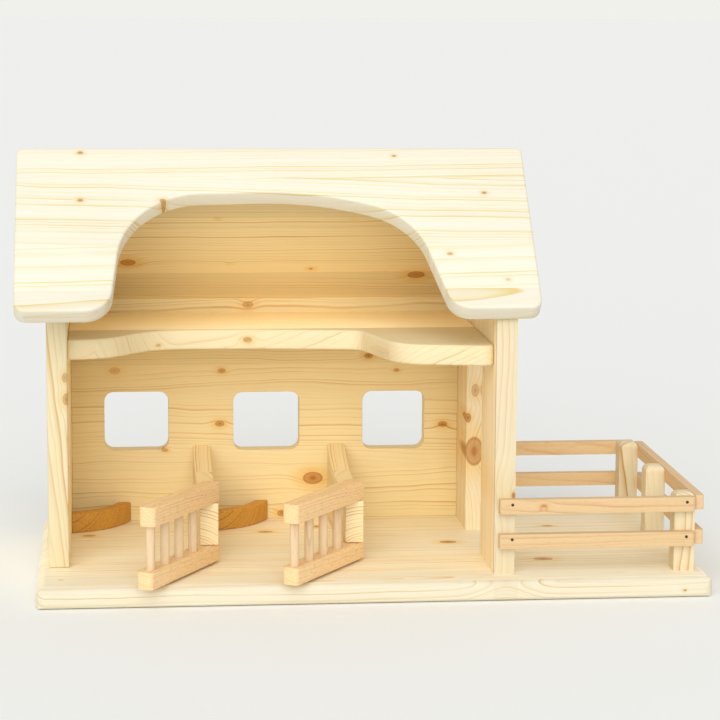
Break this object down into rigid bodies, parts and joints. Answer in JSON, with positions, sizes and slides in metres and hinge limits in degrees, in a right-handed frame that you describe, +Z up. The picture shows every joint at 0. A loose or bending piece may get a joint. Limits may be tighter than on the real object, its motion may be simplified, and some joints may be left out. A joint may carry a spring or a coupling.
{
  "type": "toy barn",
  "caption": "Wooden toy barn on a base board with pitched roof, arched front opening, loft floor, stalls with swinging gates, side doorway and a fenced yard.",
  "frame": {"origin": "centre of the base board's underside", "axes": "+Z up, +X along the base board from the barn towards the fenced yard, +Y from the open front to the back wall"},
  "size_m": [0.601, 0.3149, 0.382],
  "materials": {
    "spruce": "bare planed spruce board with glued strips and small knots",
    "beech": "bare planed beech",
    "dowel": "bare turned dowel",
    "dark_wood": "reddish brown hardwood",
    "steel": "dull bright steel"
  },
  "bodies": {
    "barn": {"base_board": "spruce", "left_wall": "spruce", "right_wall": "spruce", "back_wall": "spruce", "loft_shelf": "spruce", "roof_front": "spruce", "roof_back": "spruce", "divider_1": "spruce", "divider_2": "spruce", "manger_1": "dark_wood", "manger_2": "dark_wood", "post_front": "beech", "post_middle": "beech", "post_back": "beech", "front_rail_upper": "beech", "front_rail_lower": "beech", "side_rail_upper": "beech", "side_rail_lower": "beech", "back_rail_upper": "beech", "back_rail_lower": "beech", "rail_nails": "steel"},
    "gate_1": {"gate_1_low_rail": "beech", "gate_1_top_rail": "beech", "gate_1_bars": "dowel", "gate_1_pin": "steel"},
    "gate_2": {"gate_2_low_rail": "beech", "gate_2_top_rail": "beech", "gate_2_bars": "dowel", "gate_2_pin": "steel"}
  },
  "joints": [
    {"name": "gate_1_hinge", "type": "hinge", "parent": "barn", "child": "gate_1", "pos_m": [-0.1425, -0.055, 0.056], "axis": [0, 0, 1], "range_deg": [-85, 30]},
    {"name": "gate_2_hinge", "type": "hinge", "parent": "barn", "child": "gate_2", "pos_m": [-0.014, -0.055, 0.056], "axis": [0, 0, 1], "range_deg": [-81, 124]}
  ]
}
